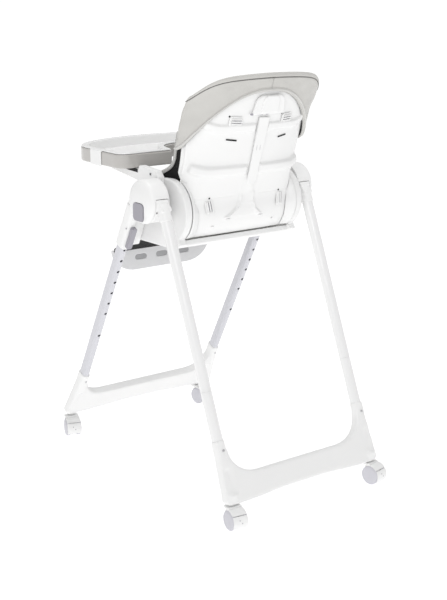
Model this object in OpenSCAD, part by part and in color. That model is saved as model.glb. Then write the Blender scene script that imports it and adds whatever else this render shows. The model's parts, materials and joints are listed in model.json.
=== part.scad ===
// Folding high chair: two leg frames hinged at the hubs, a seat that slides
// up and down the front legs, a reclining back, a sliding tray and a leg rest.
// +Z is up, the child faces -Y, and +X is the child's left. Millimetres.

/* [Legs] */
// Sideways distance from the middle of the chair to each leg's axis
leg_x = 227; // [222:1:235]
// Where the front legs' axis meets the floor
front_foot_y = -428.7; // [-440:0.1:-420]
// Lean of the front legs from vertical, degrees
front_tilt = 28.05; // [27:0.05:29]
// Where the rear legs' axis meets the floor
rear_foot_y = 394.9; // [385:0.1:405]
// Lean of the rear legs from vertical, degrees
rear_tilt = 22.3; // [21.5:0.05:23]
// Width of the flat-oval front tube, along X
front_tube_w = 20; // [18:0.5:21]
// Depth of the flat-oval front tube
front_tube_d = 32; // [30:0.5:34]
// Diameter of the round rear tube
rear_tube_dia = 28; // [26:0.5:30]
// Distance between height holes along the front leg
hole_pitch = 36.76; // [34:0.01:38]

/* [Hubs] */
// Fore-aft place of the folding pivot
hub_y = 35; // [33:0.5:37]
// Height of the folding pivot
hub_z = 750; // [745:1:755]
// Radius of the round hub
hub_r = 56; // [54:0.5:57]

/* [Seat] */
// Fore-aft place of the recline pivot
recline_y = 50; // [48:0.5:52]
// Height of the recline pivot
recline_z = 722; // [720:0.5:725]
// Outer radius of the round lower end of the back
drum_r = 79; // [76:0.5:80]
// Outer half width of the seat's side cheeks
seat_half_w = 186; // [184:0.5:187]
// Height of the seat's underside
seat_bottom_z = 627; // [625:0.5:630]

/* [Back] */
// Lean of the back from vertical, degrees
back_tilt = 18.5; // [17:0.5:20]
// Height of the back's top edge in the middle
back_top_z = 1058; // [1050:1:1062]
// Half width of the back where it is widest
back_half_w = 180; // [178:1:182]

/* [Tray] */
// Height of the tray rim's lower edge
tray_z = 818; // [817:0.5:820]
// Height of the tray rim
tray_rim_h = 36; // [34:0.5:38]
// Half width of the tray
tray_half_w = 252; // [240:1:254]

/* [Castors] */
// Diameter of a castor wheel
wheel_dia = 50; // [48:1:50]
// Distance from the swivel axis to the wheel axle
trail = 16; // [14:0.5:18]

/* [Hidden] */
$fn = 64;
eps = 0.01;

white = [0.93, 0.93, 0.93];
tube_grey = [0.80, 0.80, 0.83];
button_grey = [0.64, 0.63, 0.68];
tray_grey = [0.68, 0.67, 0.65];
hood_grey = [0.78, 0.78, 0.76];
liner_black = [0.05, 0.05, 0.05];
pad_grey = [0.75, 0.75, 0.74];
strap_grey = [0.45, 0.45, 0.46];
steel = [0.70, 0.70, 0.72];

// ---------- helpers ----------

module side(s) mirror([s < 0 ? 1 : 0, 0, 0]) children();
module both() for (s = [1, -1]) side(s) children();

// Leg frames: local z runs up the leg from the floor, local y is its rear face
module front_leg() translate([0, front_foot_y, 0]) rotate([-front_tilt, 0, 0]) children();
module rear_leg() translate([0, rear_foot_y, 0]) rotate([rear_tilt, 0, 0]) children();

// A leg's own length at a height above the floor
function front_t(z) = z / cos(front_tilt);
function rear_t(z) = z / cos(rear_tilt);

// Flat-oval outline, w across X and d across Y
module stadium(w, d) {
    square([w, d - w], center = true);
    for (s = [1, -1]) translate([0, s * (d - w) / 2]) circle(d = w);
}

// A cylinder along X from x0 to x1, centred at [y, z]
module x_cylinder(x0, x1, r, y = 0, z = 0)
    translate([x0, y, z]) rotate([0, 90, 0]) cylinder(r = r, h = x1 - x0);

// Extrude a [y, z] outline along X from x0 to x1
module x_extrude(x0, x1)
    translate([x0, 0, 0]) rotate([90, 0, 90]) linear_extrude(x1 - x0) children();

// A box given by its low and high corners
module box(lo, hi) translate(lo) cube(hi - lo);

function arc(c, rx, ry, a0, a1, n) =
    [for (i = [0:n]) let (a = a0 + (a1 - a0) * i / n) c + [rx * cos(a), ry * sin(a)]];

function mirrored(p) = [for (i = [len(p) - 1:-1:0]) [-p[i][0], p[i][1]]];

// Straight-line lookup in a short list of [key, value] pairs
function blend(a, b, k) = a + (b - a) * k;

// ---------- bases ----------

base_t = 28;
front_top = front_t(207.4);
rear_top = rear_t(201.9);
socket_wall = 2;

// Outline of a leg base in its leg's plane. All drops are below the sockets' top.
function base_half(top, top_x, foot_x, corner, band, foot, arch, in_x, in_a, in_b) = concat(
    [[0, top - foot + arch], [60, top - foot + arch]],
    [[135, top - foot + arch * 0.3], [180, top - foot]],
    arc([foot_x - corner, top - foot + corner], corner, corner, -90, -8, 8),
    [[top_x, top]],
    arc([in_x, top - band + in_b], in_a, in_b, 0, -90, 12),
    [[0, top - band]]
);

module base_plate(half) {
    translate([0, base_t / 2, 0]) rotate([90, 0, 0]) linear_extrude(base_t)
        polygon(concat(half, mirrored(half)));
}

front_half = base_half(front_top, 238, 257, 8, 87, 153, 7, 150, 59, 44);
rear_half = base_half(rear_top, 239, 248, 14, 91, 159, 6, 135, 76, 64);

castor_top_z = 57;
stem_r = 4;
stem_bore_r = stem_r + 0.05;
stem_top_z = 82;
front_stem_y = -404;
rear_stem_y = 371;

module castor_seat(y) {
    both() translate([leg_x, y, castor_top_z]) cylinder(r = 15, h = 30);
}
// Everything of a base below its castors' tops is cut away flat
module below_base() box([-300, -600, 0], [300, 600, castor_top_z]);
module castor_bore(y) {
    both() translate([leg_x, y, castor_top_z - 1]) cylinder(r = stem_bore_r, h = stem_top_z - castor_top_z + 2);
}

socket_depth = 70;
screw_r = 3;

module front_base() color(white) difference() {
    union() {
        front_leg() {
            base_plate(front_half);
            both() translate([leg_x, 0, front_top - socket_depth]) linear_extrude(socket_depth)
                stadium(front_tube_w + 2 * socket_wall + 2, front_tube_d + 2 * socket_wall + 2);
        }
        castor_seat(front_stem_y);
    }
    front_leg() both() {
        translate([leg_x, 0, front_top - socket_depth]) linear_extrude(socket_depth + 1)
            stadium(front_tube_w + 0.2, front_tube_d + 0.2);
        translate([leg_x, 0, front_t(188.5)]) rotate([-90, 0, 0]) cylinder(r = screw_r, h = 40);
    }
    castor_bore(front_stem_y);
    below_base();
}

module rear_base() color(white) difference() {
    union() {
        rear_leg() {
            base_plate(rear_half);
            both() translate([leg_x, 0, rear_top - socket_depth])
                cylinder(d = rear_tube_dia + 2 * socket_wall, h = socket_depth);
        }
        castor_seat(rear_stem_y);
    }
    rear_leg() both() {
        translate([leg_x, 0, rear_top - socket_depth])
            cylinder(d = rear_tube_dia + 0.2, h = socket_depth + 1);
        translate([leg_x, 0, rear_top - 25]) rotate([-90, 0, 0]) cylinder(r = screw_r, h = 40);
    }
    castor_bore(rear_stem_y);
    below_base();
}

module socket_screw(reach) {
    cylinder(r = screw_r - 0.1, h = reach);
}

module front_socket_screws() color(steel) front_leg() both()
    translate([leg_x, front_tube_d / 2 + 0.2, front_t(188.5)]) rotate([-90, 0, 0])
        socket_screw(3.4);

module rear_socket_screws() color(steel) rear_leg() both()
    translate([leg_x, rear_tube_dia / 2 + 0.2, rear_top - 25]) rotate([-90, 0, 0])
        socket_screw(3.4);

// ---------- tubes ----------

tube_wall = 1.5;
first_hole_t = front_t(414.8);
hole_count = 8;
hole_r = 4;
front_tube_top = 872;

module front_tube(s) color(tube_grey) side(s) front_leg() difference() {
    translate([leg_x, 0, front_top - socket_depth + 0.5])
        linear_extrude(front_tube_top - front_top + socket_depth - 0.5) difference() {
            stadium(front_tube_w, front_tube_d);
            stadium(front_tube_w - 2 * tube_wall, front_tube_d - 2 * tube_wall);
        }
    for (i = [0:hole_count - 1])
        translate([leg_x, 5, first_hole_t + i * hole_pitch]) rotate([-90, 0, 0]) cylinder(r = hole_r, h = 20);
    translate([leg_x, 5, front_t(344.1)]) rotate([-90, 0, 0]) cylinder(r = hole_r, h = 20);
}
module left_front_tube() front_tube(1);
module right_front_tube() front_tube(-1);

swage_t = rear_t(313.7);
rear_tube_top = 800;
spigot_len = 60;

module rear_tube(s) color(white) side(s) rear_leg() translate([leg_x, 0, swage_t + 0.6]) difference() {
    cylinder(d = rear_tube_dia, h = rear_tube_top - swage_t - 0.6);
    translate([0, 0, -1]) cylinder(d = rear_tube_dia - 2 * tube_wall, h = rear_tube_top - swage_t + 2);
}
module left_rear_tube() rear_tube(1);
module right_rear_tube() rear_tube(-1);

module rear_foot_tubes() color(white) both() rear_leg() translate([leg_x, 0, 0]) difference() {
    union() {
        translate([0, 0, rear_top - socket_depth + 0.5])
            cylinder(d = rear_tube_dia, h = swage_t - rear_top + socket_depth - 0.5);
        cylinder_from(swage_t, spigot_len, rear_tube_dia - 2 * tube_wall - 0.2);
    }
    cylinder_from(rear_top - socket_depth, 400, rear_tube_dia - 4 * tube_wall - 0.2);
}
module cylinder_from(z, h, d) translate([0, 0, z]) cylinder(d = d, h = h);

// ---------- hubs ----------

hub_in_x = 207;
hub_plate_x = 210.5;
hub_out_x = 247;
hub_wall = 3.5;
pin_r = 5;
pin_bore_r = pin_r + 0.05;
knuckle_x0 = 212;
knuckle_x1 = 246.5;
socket_bottom_t = 826;

// Outline of a round sector in [y, z] about the hub pivot
module sector(r0, r1, a0, a1)
    translate([hub_y, hub_z])
        polygon(concat(arc([0, 0], r1, r1, a0, a1, 32), arc([0, 0], r0, r0, a1, a0, 24)));

module hub(s) color(white) side(s) difference() {
    union() {
        difference() {
            x_cylinder(hub_in_x, hub_out_x, hub_r, hub_y, hub_z);
            x_cylinder(hub_plate_x, hub_out_x + 1, hub_r - hub_wall, hub_y, hub_z);
            translate([0, hub_y, hub_z]) x_extrude(hub_plate_x, hub_out_x + 1) pie(hub_r + 20, 166, 372);
        }
        front_leg() translate([leg_x, 0, socket_bottom_t]) linear_extrude(front_tube_top - socket_bottom_t + 4)
            stadium(front_tube_w + 2 * socket_wall + 2, front_tube_d + 2 * socket_wall + 2);
    }
    front_leg() translate([leg_x, 0, socket_bottom_t - 1]) linear_extrude(front_tube_top - socket_bottom_t + 1.2)
        stadium(front_tube_w + 0.2, front_tube_d + 0.2);
    x_cylinder(hub_in_x - 1, hub_plate_x + 1, pin_bore_r, hub_y, hub_z);
}
module left_hub() hub(1);
module right_hub() hub(-1);

dome_depth = 21;
button_w = 44;
button_h = 44;
button_y = hub_y + 6;
button_z = hub_z - 23;
button_in_x = 256;
button_face_x = 269;

// Rounded rectangle with corner radius r
module rounded_rect(w, h, r) {
    square([w - 2 * r, h], center = true);
    square([w, h - 2 * r], center = true);
    for (x = [-1, 1], y = [-1, 1]) translate([x * (w / 2 - r), y * (h / 2 - r)]) circle(r = r);
}

module hub_cover(s) color(white) side(s) difference() {
    union() {
        translate([hub_out_x, hub_y, hub_z]) rotate([0, 90, 0]) rotate_extrude()
            polygon(concat([[0, 0], [hub_r, 0]], arc([14, 0], hub_r - 14, dome_depth, 12, 90, 12), [[0, dome_depth]]));
        translate([0, button_y, button_z]) x_extrude(hub_out_x, hub_out_x + dome_depth - 1)
            rounded_rect(button_w + 7, button_h + 7, 14);
    }
    translate([0, button_y, button_z]) x_extrude(button_in_x - 6, hub_out_x + dome_depth + 5)
        rounded_rect(button_w + 1, button_h + 1, 11);
    x_cylinder(hub_out_x - 1, hub_out_x + 5, pin_bore_r, hub_y, hub_z);
}
module left_hub_cover() hub_cover(1);
module right_hub_cover() hub_cover(-1);

module hub_pins() color(steel) both() x_cylinder(hub_in_x + 0.2, hub_out_x + 3, pin_r, hub_y, hub_z);

module fold_button(s) color(button_grey) side(s)
    translate([0, button_y, button_z]) x_extrude(button_in_x, button_face_x)
        rounded_rect(button_w, button_h, 10);
module left_fold_button() fold_button(1);
module right_fold_button() fold_button(-1);

collar_r = rear_tube_dia / 2 + 2;
collar_bottom_t = rear_t(708);
collar_top_t = 808;

// Fills the step between the hub's rim and the top of the collar, seen from the side
rear_dir = [sin(rear_tilt), -cos(rear_tilt)];
rear_out = [cos(rear_tilt), sin(rear_tilt)];
collar_end = [rear_foot_y, 0] - rear_dir * 788;
shoulder = [
    [hub_y + 20, hub_z], [hub_y + (hub_r - 0.4) * cos(11.2), hub_z + (hub_r - 0.4) * sin(11.2)],
    collar_end + rear_out * (collar_r - 0.6), collar_end - rear_out * 8
];

module knuckle(s) color(white) side(s) difference() {
    union() {
        x_cylinder(knuckle_x0, knuckle_x1, 33, hub_y, hub_z);
        x_extrude(knuckle_x0, knuckle_x1) sector(10, hub_r - 0.4, -66, 11.2);
        x_extrude(leg_x - 15, leg_x + 15) polygon(shoulder);
        rear_leg() translate([leg_x, 0, collar_bottom_t]) cylinder(r = collar_r, h = collar_top_t - collar_bottom_t);
    }
    rear_leg() translate([leg_x, 0, collar_bottom_t - 1])
        cylinder(d = rear_tube_dia + 0.2, h = rear_tube_top - collar_bottom_t + 1.2);
    x_cylinder(knuckle_x0 - 1, knuckle_x1 + 1, pin_bore_r, hub_y, hub_z);
}
module left_knuckle() knuckle(1);
module right_knuckle() knuckle(-1);

// ---------- sliders ----------

slider_bottom_t = front_t(614);
slider_top_t = 825.2;
slider_w = 28;
slider_d = 42;
slide_gap = 0.35;
bracket_t0 = 705;
bracket_t1 = 815;
side_x = seat_half_w + 0.3;

module slider(s) color(white) side(s) front_leg() difference() {
    union() {
        translate([leg_x, 0, slider_bottom_t]) linear_extrude(slider_top_t - slider_bottom_t)
            stadium(slider_w, slider_d);
        box([side_x, -16, bracket_t0], [leg_x, 16, bracket_t1]);
    }
    translate([leg_x, 0, slider_bottom_t - 1]) linear_extrude(slider_top_t - slider_bottom_t + 2)
        stadium(front_tube_w + 2 * slide_gap, front_tube_d + 2 * slide_gap);
    translate([leg_x, 0, catch_t]) rotate([-90, 0, 0]) cylinder(r = catch_pin_r + 0.3, h = 40);
}
module left_slider() slider(1);
module right_slider() slider(-1);

// Spring catch behind each slider, whose pin points at a height hole
catch_t = first_hole_t + 7 * hole_pitch;
catch_pin_r = 3;
catch_h = 66;
catch_shift = -11;
module height_catch(s) color(button_grey) side(s) front_leg() translate([leg_x, 0, catch_t]) {
    translate([0, front_tube_d / 2 + 1, 0]) rotate([-90, 0, 0]) cylinder(r = catch_pin_r, h = 8);
    translate([0, slider_d / 2 + 1, -18]) rotate([-90, 0, 0]) linear_extrude(9)
        translate([0, catch_shift - 18]) rounded_rect(16, catch_h, 5);
}
module left_height_catch() height_catch(1);
module right_height_catch() height_catch(-1);

// ---------- seat ----------

cheek_x0 = 166;
cheek_r = 81;
seat_front_y = -130;
cheek_top_z = 798;
floor_t = 6;
rim_r = 97;
pivot_hole_r = 4;

// Side outline of the seat: round at the back, flat along the bottom
module cheek_outline() {
    translate([recline_y, recline_z]) circle(r = cheek_r);
    polygon(concat([[seat_front_y - 15, seat_bottom_z - 2], [recline_y, seat_bottom_z]],
        arc([recline_y, recline_z], rim_r, rim_r, -90, -54, 10), [[recline_y, recline_z],
        [recline_y, cheek_top_z + 5], [-20, cheek_top_z], [-62, cheek_top_z - 14],
        [seat_front_y + 8, seat_bottom_z + 60], [seat_front_y - 15, seat_bottom_z + 16]]
    ));
}

module seat_base() color(white) difference() {
    union() {
        both() x_extrude(cheek_x0, seat_half_w) cheek_outline();
        x_extrude(-cheek_x0 - eps, cheek_x0 + eps) {
            polygon([
                [seat_front_y + 2, seat_bottom_z], [recline_y + 20, seat_bottom_z],
                [recline_y + 20, seat_bottom_z + floor_t], [seat_front_y + 2, seat_bottom_z + floor_t]
            ]);
            polygon(concat(
                arc([recline_y, recline_z], rim_r - 0.5, rim_r - 0.5, -90, -58, 10),
                arc([recline_y, recline_z], drum_r + 3, drum_r + 3, -58, -90, 10)
            ));
        }
    }
    both() {
        x_cylinder(cheek_x0 - 1, seat_half_w + 1, pivot_hole_r + 0.05, recline_y, recline_z);
        box([cheek_x0 - 1, seat_front_y + 4, seat_bottom_z + 8], [seat_half_w - 4, recline_y - 60, 900]);
    }
    x_cylinder(-seat_half_w - 1, seat_half_w + 1, hinge_r + 0.05, hinge_y, hinge_z);
}

module recline_pins() color(steel) both()
    x_cylinder(cheek_x0 - 6.5, seat_half_w - 0.2, pivot_hole_r, recline_y, recline_z);

arm_x0 = side_x;
arm_x1 = 205.5;
arm_block_y0 = -50;
arm_block_y1 = 40;
arm_tip_y = -182;

module armrest_outline() polygon([
    [arm_tip_y, 803], [arm_block_y0 + 12, 785], [arm_block_y1 - 20, 782], [arm_block_y1, 790],
    [arm_block_y1, 806], [arm_block_y1 - 14, 822], [arm_block_y0 + 4, 827],
    [arm_block_y0, 824], [arm_block_y0, 817], [arm_tip_y + 4, 817], [arm_tip_y, 814]
]);

arm_screw_y = 5;
arm_screw_z = 811;
module armrest(s) color(white) side(s) difference() {
    x_extrude(arm_x0, arm_x1) armrest_outline();
    x_cylinder(arm_x0 + 3, arm_x1 + 1, screw_r, arm_screw_y, arm_screw_z);
}
module left_armrest() armrest(1);
module right_armrest() armrest(-1);

module armrest_screws() color(steel) both()
    x_cylinder(arm_x0 + 3.2, arm_x1 - 1, screw_r - 0.1, arm_screw_y, arm_screw_z);

cushion_half_w = 150;
module seat_cushion() color(pad_grey)
    box([-cushion_half_w, seat_front_y + 8, seat_bottom_z + floor_t + 1], [cushion_half_w, recline_y - 12, 684]);

module side_liner() color(liner_black) both() x_extrude(152, 158) polygon([
    [seat_front_y + 40, 692], [recline_y - 25, 692], [recline_y - 5, 730], [recline_y + 8, 790],
    [recline_y + 30, 850], [recline_y + 6, 846], [-10, 832], [-55, 820], [seat_front_y + 30, 740]
]);

buckle_y = -38;
buckle_z = 722;
module harness_buckle() color(button_grey) difference() {
    box([-24, buckle_y - 9, buckle_z - 22], [24, buckle_y + 9, buckle_z + 24]);
    translate([0, buckle_y - 10, buckle_z]) rotate([-90, 0, 0]) cylinder(r = 10.4, h = 9);
}
module buckle_button() color(tube_grey)
    translate([0, buckle_y - 11, buckle_z]) rotate([-90, 0, 0]) cylinder(r = 10, h = 6);

strap_t = 2.4;
module waist_straps() color(strap_grey) {
    both() box([24.5, buckle_y - strap_t / 2, buckle_z - 12], [145, buckle_y + strap_t / 2, buckle_z + 8]);
    box([-14, buckle_y - strap_t / 2, 684.6], [14, buckle_y + strap_t / 2, buckle_z - 22.4]);
}

// ---------- back ----------

// Rear face of the back in the middle, as a height function
back_join_z = recline_z + 22;
back_join_y = recline_y + sqrt(drum_r * drum_r - 22 * 22);
function back_y(z) = z < back_join_z
    ? recline_y + sqrt(max(0, drum_r * drum_r - (z - recline_z) * (z - recline_z)))
    : back_join_y + (z - back_join_z) * tan(back_tilt);

// Front edge of the back's side walls
function edge_y(z) = z < 806 ? min(back_y(z) - 8, 77)
    : z < 846 ? blend(77, 95, (z - 806) / 40)
    : z < 895 ? blend(95, 108, (z - 846) / 49)
    : 108 + (z - 895) * 0.45;

// Half width: narrow between the cheeks, wide above them
function half_w(z) = z < 800 ? cheek_x0 - 1.5
    : z < 822 ? blend(cheek_x0 - 1.5, 176, (z - 800) / 22)
    : z < 890 ? blend(176, back_half_w, (z - 822) / 68)
    : back_half_w;

// Squareness of the back's section: small is boxy, 1 is an ellipse
function section(z) = z < 800 ? 0.62
    : z < 850 ? blend(0.62, 1, (z - 800) / 50)
    : z < 930 ? blend(1, 1.12, (z - 850) / 80)
    : 1.12;

// The hood's own front edge, half width and section
function hood_edge_y(z) = 97 + 0.25 * (z - 879) + 0.0016 * pow(z - 879, 2);
function hood_w(z) = z < 986 ? blend(196, 202, (z - 870) / 116) : 202;
function hood_section(z) = blend(0.97, 1.1, min(1, max(0, (z - 880) / 100)));
hood_off = 9;

// Height of the top edge at a sideways place k from 0 (middle) to 1 (side)
function top_z(k) = back_top_z - 12 * k * k - 40 * pow(k, 8);

// Point of the back's wall: a is degrees round it (-90 to 90), d outwards
function back_point(a, z, d, hood) =
    let (w = (hood ? hood_w(z) : half_w(z)) + d,
         ye = hood ? hood_edge_y(z) : edge_y(z),
         yc = back_y(z) + (hood ? hood_off : 0) + d,
         e = hood ? hood_section(z) : section(z))
    [w * sign(a) * pow(abs(sin(a)), e), ye + (yc - ye) * pow(cos(a), e), z];

function skin_row(na, z0, z1, v, d, lift, hood) = [for (j = [0:na])
    let (a = -90 + 180 * j / na, k = abs(sin(a)),
         lo = z0[0] + (z0[1] - z0[0]) * pow(k, z0[2]), hi = min(z1, top_z(k) + lift))
    back_point(a, lo + (hi - lo) * v, d, hood)];

// Closed wall between two offsets d0 < d1, from a lower curve up to the top edge
module back_skin(na, nv, low, high, d0, d1, lift = 0, hood = false) {
    n = na + 1;
    rows = nv + 1;
    pts = concat(
        [for (i = [0:nv]) each skin_row(na, low, high, i / nv, d1, lift, hood)],
        [for (i = [0:nv]) each skin_row(na, low, high, i / nv, d0, lift, hood)]
    );
    m = n * rows;
    outer = [for (i = [0:nv - 1], j = [0:na - 1]) let (p = i * n + j)
        each [[p, p + 1, p + n], [p + 1, p + n + 1, p + n]]];
    inner = [for (i = [0:nv - 1], j = [0:na - 1]) let (p = m + i * n + j)
        each [[p, p + n, p + 1], [p + 1, p + n, p + n + 1]]];
    bottom = [for (j = [0:na - 1]) each [[j, m + j, j + 1], [j + 1, m + j, m + j + 1]]];
    top = [for (j = [0:na - 1]) let (p = nv * n + j) each [[p, p + 1, m + p], [p + 1, m + p + 1, m + p]]];
    left = [for (i = [0:nv - 1]) let (p = i * n) each [[p, p + n, m + p], [p + n, m + p + n, m + p]]];
    right = [for (i = [0:nv - 1]) let (p = i * n + na) each [[p, m + p, p + n], [p + n, m + p, m + p + n]]];
    polyhedron(pts, concat(outer, inner, bottom, top, left, right));
}

shell_t = 5;
slot_x = 78;
slot_z = 903;
module back_shell() color(white) difference() {
    union() {
        back_skin(28, 30, [655, 655, 1], 2000, -shell_t, 0);
        both() x_cylinder(cheek_x0 - 6.5, cheek_x0 - 2, 18, recline_y, recline_z);
        both() box([cheek_x0 - 6.5, recline_y, recline_z - 16], [cheek_x0 - 2, recline_y + 34, recline_z + 16]);
    }
    both() {
        x_cylinder(cheek_x0 - 8, cheek_x0 + 1, pivot_hole_r + 0.05, recline_y, recline_z);
        box([slot_x - 19, 100, slot_z - 2], [slot_x + 19, 230, slot_z + 2]);
    }
}

// Frame on the back's rear face: local z runs up it, local y stands off it
module on_back(z) translate([0, back_y(z), z]) rotate([-back_tilt, 0, 0]) children();

module spine_cover() color(white) on_back(780) difference() {
    box([-17, 0.8, 6], [17, 8, 198]);
    box([-13, 0, 2], [13, 5, 200]);
}
module recline_housing() color(white) on_back(970) difference() {
    box([-44, 0.8, 0], [44, 10, 48]);
    box([-40, 0, -2], [40, 7.5, 44]);
}
module recline_lever() color(white) on_back(970) {
    box([-34, 1.6, 3], [34, 6.4, 30]);
    box([-8, 1.6, -150], [8, 4, 3 + eps]);
}

retainer_z = 949.5;
lower_retainer_z = 739;
module retainer() difference() {
    box([-14, 0, -9], [14, 4.5, 9]);
    for (z = [-4.5, 2]) box([-11, -1, z], [11, 6, z + 2.5]);
}
module strap_retainers() color(white) both() {
    on_back(retainer_z) translate([80, 0.6, 0]) retainer();
    on_back(lower_retainer_z) translate([110.5, 1.8, 0]) rotate([0, 80, 0]) retainer();
}

module back_cushion() color(pad_grey)
    back_skin(28, 28, [712, 712, 1], 1030, -26, -8);

strap_off = 40;
module shoulder_straps() color(strap_grey) both() {
    x_extrude(slot_x - 16, slot_x + 16) polygon([
        [back_y(900) - strap_off + strap_t, 900], [back_y(900) - strap_off, 900],
        [back_y(765) - strap_off, 765], [back_y(765) - strap_off + strap_t, 765]
    ]);
}

module head_hood() color(hood_grey)
    back_skin(28, 10, [1020, 880, 2.6], 2000, -7, 0, 8, true);

// ---------- tray ----------

// Half outline of the tray seen from above, inset by g
tray_mid_y = -236;
tray_bow = 136;
tip_r = 30;
tip_y = -92;
belly_r = 86;
belly_depth = 101;
belly_y = -72;
function tray_half(g) = concat(
    arc([0, tray_mid_y], tray_half_w - g, tray_bow - g, -90, 0, 20),
    arc([tray_half_w - tip_r, tip_y], tip_r - g * 0.8, tip_r - g * 0.8, 0, 90, 6),
    [[belly_r + g + 8, tip_y + tip_r - g]],
    arc([0, belly_y], belly_r + g, belly_depth + g, -5, -90, 14)
);
module tray_shape(g) polygon(concat(tray_half(g), mirrored(tray_half(g))));

tray_top_z = tray_z + tray_rim_h;
tray_floor_z = tray_z + 4;
module tray_base() color(tray_grey) difference() {
    translate([0, 0, tray_z]) linear_extrude(tray_rim_h) tray_shape(0);
    translate([0, 0, tray_floor_z]) linear_extrude(tray_rim_h) tray_shape(8);
}

module top_tray() color(white) {
    difference() {
        union() {
            translate([0, 0, tray_top_z + 0.4]) linear_extrude(3.2) tray_shape(2);
            translate([0, 0, tray_floor_z + 6]) linear_extrude(tray_rim_h - 8) tray_shape(11);
        }
        translate([0, 0, tray_floor_z + 9]) linear_extrude(tray_rim_h) tray_shape(19);
    }
    both() {
        box([tray_half_w + 0.4, -205, tray_z - 2], [tray_half_w + 3.4, -152, tray_top_z + 3.6]);
        box([tray_half_w - 8, -205, tray_top_z + 0.4], [tray_half_w + 3.4, -152, tray_top_z + 3.6]);
    }
}

module tray_release() color(button_grey)
    box([-38, -354, tray_z - 9], [38, -330, tray_z - 0.4]);

// ---------- leg rest ----------

hinge_y = seat_front_y - 6;
hinge_z = seat_bottom_z + 5;
hinge_r = 3;
legrest_half_w = 158;

panel_y = -256;
module legrest_panel() color(liner_black) difference() {
    union() {
        x_cylinder(-legrest_half_w, legrest_half_w, 6.5, hinge_y, hinge_z);
        x_extrude(-legrest_half_w, legrest_half_w) polygon([
            [hinge_y, hinge_z + 6.4], [hinge_y - 2, hinge_z - 6.2], [panel_y + 1, 557], [panel_y + 1, 567]
        ]);
    }
    x_cylinder(-legrest_half_w - 1, legrest_half_w + 1, hinge_r + 0.05, hinge_y, hinge_z);
}
module legrest_pad() color(pad_grey) x_extrude(-legrest_half_w + 4, legrest_half_w - 4) polygon([
    [hinge_y - 4, 639], [panel_y + 1, 568.5], [panel_y + 1, 586], [hinge_y - 6, 656]
]);

foot_half_w = 165;
foot_flat = 85;
foot_z1 = 562;
foot_drop = 64;
slot_len = 38;
slot_h = 14;
module footrest() color(tube_grey) translate([0, panel_y, 0]) rotate([90, 0, 0]) linear_extrude(6) difference() {
    polygon(concat(
        arc([foot_flat, foot_z1], foot_half_w - foot_flat, foot_drop, -90, 0, 14),
        arc([-foot_flat, foot_z1], foot_half_w - foot_flat, foot_drop, 180, 270, 14)
    ));
    for (x = [-74, 0, 70]) translate([x, 534]) {
        square([slot_len - slot_h, slot_h], center = true);
        for (s = [1, -1]) translate([s * (slot_len - slot_h) / 2, 0]) circle(d = slot_h);
    }
}
module legrest_pin() color(steel) x_cylinder(-seat_half_w + 1, seat_half_w - 1, hinge_r, hinge_y, hinge_z);

// ---------- castors ----------

axle_r = 3;
wheel_r = wheel_dia / 2;
wheel_w = 11;
hood_half_w = 9.5;
slot_half_w = 4;

// A castor's own frame: swivel axis on Z, axle behind it at +Y
module at_castor(sx, y, turn) translate([sx * leg_x, y, 0]) rotate([0, 0, turn]) children();

module pie(r, a0, a1) polygon(concat([[0, 0]], arc([0, 0], r, r, a0, a1, 12)));

module castor_hood() color(white) difference() {
    union() {
        intersection() {
            x_cylinder(-hood_half_w, hood_half_w, wheel_r - 0.6, trail, wheel_r);
            box([-20, -30, 6], [20, 60, 60]);
        }
        translate([0, 0, wheel_r + 5]) cylinder(r = hood_half_w, h = castor_top_z - 1.5 - wheel_r - 5);
        box([-19.5, -9, wheel_dia + 0.8], [19.5, 15, castor_top_z - 1.2]);
        cylinder_from(castor_top_z - 2, stem_top_z - castor_top_z + 1, 2 * stem_r);
    }
    x_cylinder(-20, 20, axle_r + 0.05, trail, wheel_r);
    x_cylinder(-slot_half_w, slot_half_w, axle_r + 3, trail, wheel_r);
    translate([0, trail, wheel_r]) x_extrude(-slot_half_w, slot_half_w) pie(40, -62, 38);
}
module castor_wheels() color(tube_grey) {
    x_cylinder(-hood_half_w - 4, hood_half_w + 4, axle_r, trail, wheel_r);
    for (s = [1, -1]) side(s) translate([hood_half_w + 0.5, trail, wheel_r]) rotate([0, 90, 0])
        rotate_extrude() polygon([
            [axle_r - eps, 0], [wheel_r, 0], [wheel_r, wheel_w - 2], [wheel_r - 2, wheel_w],
            [wheel_r - 6, wheel_w + 1.4], [8, wheel_w + 2.4], [0, wheel_w + 2.4], [0, 3.6], [axle_r - eps, 3.6]
        ]);
}
module castor_pedal() color(white) translate([0, trail, wheel_r]) difference() {
    union() {
        x_extrude(-hood_half_w, hood_half_w) difference() {
            pie(wheel_r + 2.6, -36, 34);
            circle(r = wheel_r - 0.2);
        }
        x_extrude(-slot_half_w + 0.5, slot_half_w - 0.5) pie(wheel_r + 0.5, -20, 20);
        x_cylinder(-slot_half_w + 0.5, slot_half_w - 0.5, axle_r + 2.5);
    }
    x_cylinder(-slot_half_w, slot_half_w, axle_r + 0.05);
}

turns = [-18, 10, -6, 12];
module front_left() at_castor(1, front_stem_y, turns[0]) children();
module front_right() at_castor(-1, front_stem_y, turns[1]) children();
module rear_left() at_castor(1, rear_stem_y, turns[2]) children();
module rear_right() at_castor(-1, rear_stem_y, turns[3]) children();

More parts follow.
